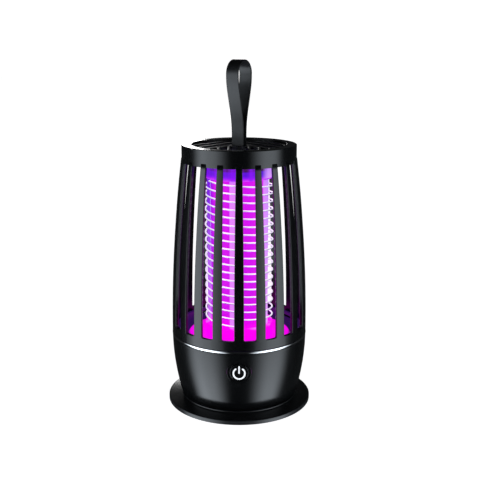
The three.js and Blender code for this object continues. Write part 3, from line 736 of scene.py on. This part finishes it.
def build_grid():
    for name, start in (("grid_wire_a", -150), ("grid_wire_b", 30)):
        bm = sweep(helix(start), circle(WIRE_R, 10))
        piece(name + "_wound", bm, wire.material, "base", [name])
    collar = [(21, 59), (COLLAR_R, 59), (COLLAR_R, COLLAR_TOP), (23.5, COLLAR_TOP), (23.5, 61), (21, 61)]
    cradle = lathe(rounded(collar, 0.4), 96)
    for k in range(POSTS):
        post = grid_post()
        bmesh.ops.transform(post, matrix=about_z(POST_FIRST + 360 / POSTS * k), verts=post.verts)
        merge(cradle, post)
    piece("grid_posts", cradle, post_glow.material, "base", ["grid_frame"])
    low, high = CAP_Z
    cap = [(25.8, low), (COLLAR_R, low), (COLLAR_R, high, 1.5), (0, high), (0, high - 2), (25.8, high - 2)]
    bm = lathe(rounded(cap, 0.4), 96)
    piece("grid_top", bm, cap_glow.material, "base", ["grid_cap"])
    (inner, outer), (low, high) = TUBE_R, TUBE_Z
    tube = lathe(rounded([(inner, low), (outer, low), (outer, high), (inner, high)], 0.3), 96)
    everything = tube.verts[:] + tube.edges[:] + tube.faces[:]
    bmesh.ops.bisect_plane(tube, geom=everything, plane_co=(0, 0, 130), plane_no=(0, 0, 1))
    piece("lamp_sleeve", tube, tube_glow.material, "base", ["lamp_tube"])


# ---- strap ----


def strap_line():
    """Centre line of the ribbon as (across, height): up the front leg, over the crown, down the back leg."""
    knots = [(1.75, 207.2), (1.75, 214), (1.8, 220), (2.5, 231), (5.0, 243), (8.0, 254), (9.9, 262.5)]
    knots.append((LOOP_R, LOOP_Z))
    side = []
    for i in range(len(knots) - 1):
        p0, p1, p2, p3 = (Vector(knots[min(max(n, 0), len(knots) - 1)]) for n in (i - 1, i, i + 1, i + 2))
        for t in steps(0, 1, 6)[:-1]:
            bend = (2 * p0 - 5 * p1 + 4 * p2 - p3) * t**2 + (3 * p1 - p0 - 3 * p2 + p3) * t**3
            side.append(p1 + 0.5 * ((p2 - p0) * t + bend))
    crown = [Vector(point) for point in arc((0, LOOP_Z), LOOP_R, 0, 180, 28)]
    left = [Vector((-p.x, p.y)) for p in side]
    return side + crown + left[::-1]


def build_strap():
    line = strap_line()
    turn = about_z(STRAP_TURN, 3)
    width = turn @ Vector((0, 1, 0))
    half, thick, lip = STRAP_WIDTH / 2, STRAP_THICK / 2 - 0.01, 0.45
    quarter = arc((half - lip, thick - lip), lip, 0, 90, 4)
    flat = [(half * s, thick * 0.93) for s in (0.8, 0.4, 0, -0.4, -0.8)]
    upper = quarter + flat + [(-x, y) for x, y in reversed(quarter)]
    section = upper + [(x, -y) for x, y in reversed(upper)]
    path = []
    for i, p in enumerate(line):
        ahead, behind = line[min(i + 1, len(line) - 1)], line[max(i - 1, 0)]
        along = (ahead - behind).normalized()
        out = turn @ Vector((along.y, 0, -along.x))
        path.append((turn @ Vector((p.x, 0, p.y)), width, out))
    bm = sweep(path, section)
    strap = piece("strap_loop", bm, silicone.material, None, ["strap", "strap_tails"])
    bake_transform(strap)


# ---- the rest of the CAD, the floor, the lights and the camera ----


def dress_cad():
    """Gives each CAD node that still shows the finish of its material slot."""
    finish = {
        "gloss_black": gloss, "satin_black": satin, "foot_rubber": rubber, "strap_rubber": silicone,
        "glow_plastic": post_glow, "frosted_tube": tube_glow, "white_board": white, "white_mark": mark,
        "circuit_board": board, "battery_wrap": cell, "coil_tape": tape, "chrome_trim": chrome,
        "steel": steel, "brass": brass,
    }  # fmt: skip
    slots = {row["node"]: row["material_slot"] for row in frame["record"]["subparts"]}
    for name, obj in frame["nodes"].items():
        obj.data.materials.clear()
        obj.data.materials.append(finish[slots[name]].material)


def build_stage():
    pale = Surface("pale_floor")
    pale.set(Base_Color=pale.mix(pale.noise(3, 2), (0.86, 0.86, 0.86), (0.9, 0.9, 0.9)), Roughness=0.9)
    pale.set(Emission_Color=(1, 1, 1), Emission_Strength=1.0)
    floor_bm = bmesh.new()
    bmesh.ops.create_circle(floor_bm, cap_ends=True, radius=6000, segments=64)
    floor = piece("floor", floor_bm, pale.material, None)
    dome_bm = bmesh.new()
    bmesh.ops.create_uvsphere(dome_bm, u_segments=48, v_segments=24, radius=7000)
    backdrop = Surface("backdrop")
    backdrop.set(Base_Color=(0.9, 0.9, 0.9), Emission_Color=(1, 1, 1), Emission_Strength=1.0)
    dome = piece("backdrop", dome_bm, backdrop.material, None)
    for obj in (floor, dome):
        obj.visible_glossy = False
        obj.visible_shadow = False
    dome.visible_diffuse = False
    dome.visible_transmission = False


def build_light_tent():
    """Soft white cloth for the gloss to mirror: bright at both sides, dark in front, open behind."""
    cloth = Surface("light_tent")
    x, y, z = cloth.split()
    angle = cloth.math("ARCTAN2", x, cloth.math("MULTIPLY", y, -1))
    bearing = cloth.math("ADD", cloth.math("DIVIDE", angle, 2 * math.pi), 0.5)
    levels = [(-104, 0), (-74, 1), (-56, 0.85), (-16, 0), (16, 0), (56, 0.86), (68, 0.82), (96, 0)]
    sides = cloth.ramp(bearing, [(0.5 + degrees / 360, level) for degrees, level in levels])
    share = cloth.math("DIVIDE", cloth.math("ADD", z, 1.5), 2.5)
    height = cloth.ramp(share, [(0.2, 1.0), (0.52, 0.76), (0.72, 0.72), (0.84, 0)])
    for node in cloth.nodes:
        if node.type == "VALTORGB":
            node.color_ramp.interpolation = "EASE"
    strength = cloth.math("MULTIPLY", cloth.math("MULTIPLY", sides, height), 4.3)
    cloth.set(Base_Color=(0, 0, 0), Emission_Color=(0.84, 0.92, 1.0), Emission_Strength=strength)
    bm = bmesh.new()
    bearings = steps(-200, 20, 80)
    low, high = [[bm.verts.new(polar(1200, turn, level)) for turn in bearings] for level in (-1500, 800)]
    for i in range(len(bearings) - 1):
        bm.faces.new([low[i], low[i + 1], high[i + 1], high[i]])
    tent = piece("light_tent", bm, cloth.material, None)
    tent.visible_camera = False


def build_rim_card():
    """A small card behind the lamp's left, mirrored by the flat top of the cage's head."""
    light = bpy.data.lights.new("rim_card", "AREA")
    light.shape = "RECTANGLE"
    light.size, light.size_y = 0.42, 0.25
    light.energy = 4.0
    card = bpy.data.objects.new("rim_card", light)
    card.location = (-0.37, 3.0, 0.58)
    card.rotation_euler = (Vector((0, 0, RING_TOP * MM)) - card.location).to_track_quat("-Z", "Y").to_euler()
    card.visible_camera = False
    bpy.context.scene.collection.objects.link(card)


def build_lights():
    world = bpy.data.worlds.new("studio")
    bpy.context.scene.world = world
    world.use_nodes = True
    background = world.node_tree.nodes["Background"]
    background.inputs["Color"].default_value = (0.9, 0.95, 1.0, 1)
    background.inputs["Strength"].default_value = 0.02
    build_light_tent()
    build_rim_card()


def build_camera():
    data = bpy.data.cameras.new("camera")
    data.sensor_width = 36
    data.lens = CAMERA_FOCUS * data.sensor_width
    camera = bpy.data.objects.new("camera", data)
    camera.location = (0.0007, -0.6733, 0.29835)
    camera.rotation_euler = ((90 - 13.53) * DEG, 0, 0)
    bpy.context.scene.collection.objects.link(camera)
    bpy.context.scene.camera = camera
    bpy.context.scene.view_settings.view_transform = "Standard"


build_camera()
dress_cad()
build_foot()
build_shell()
build_trim()
build_deck()
build_button()
build_cage()
build_ring()
build_grille()
build_grid()
build_strap()
build_stage()
build_lights()
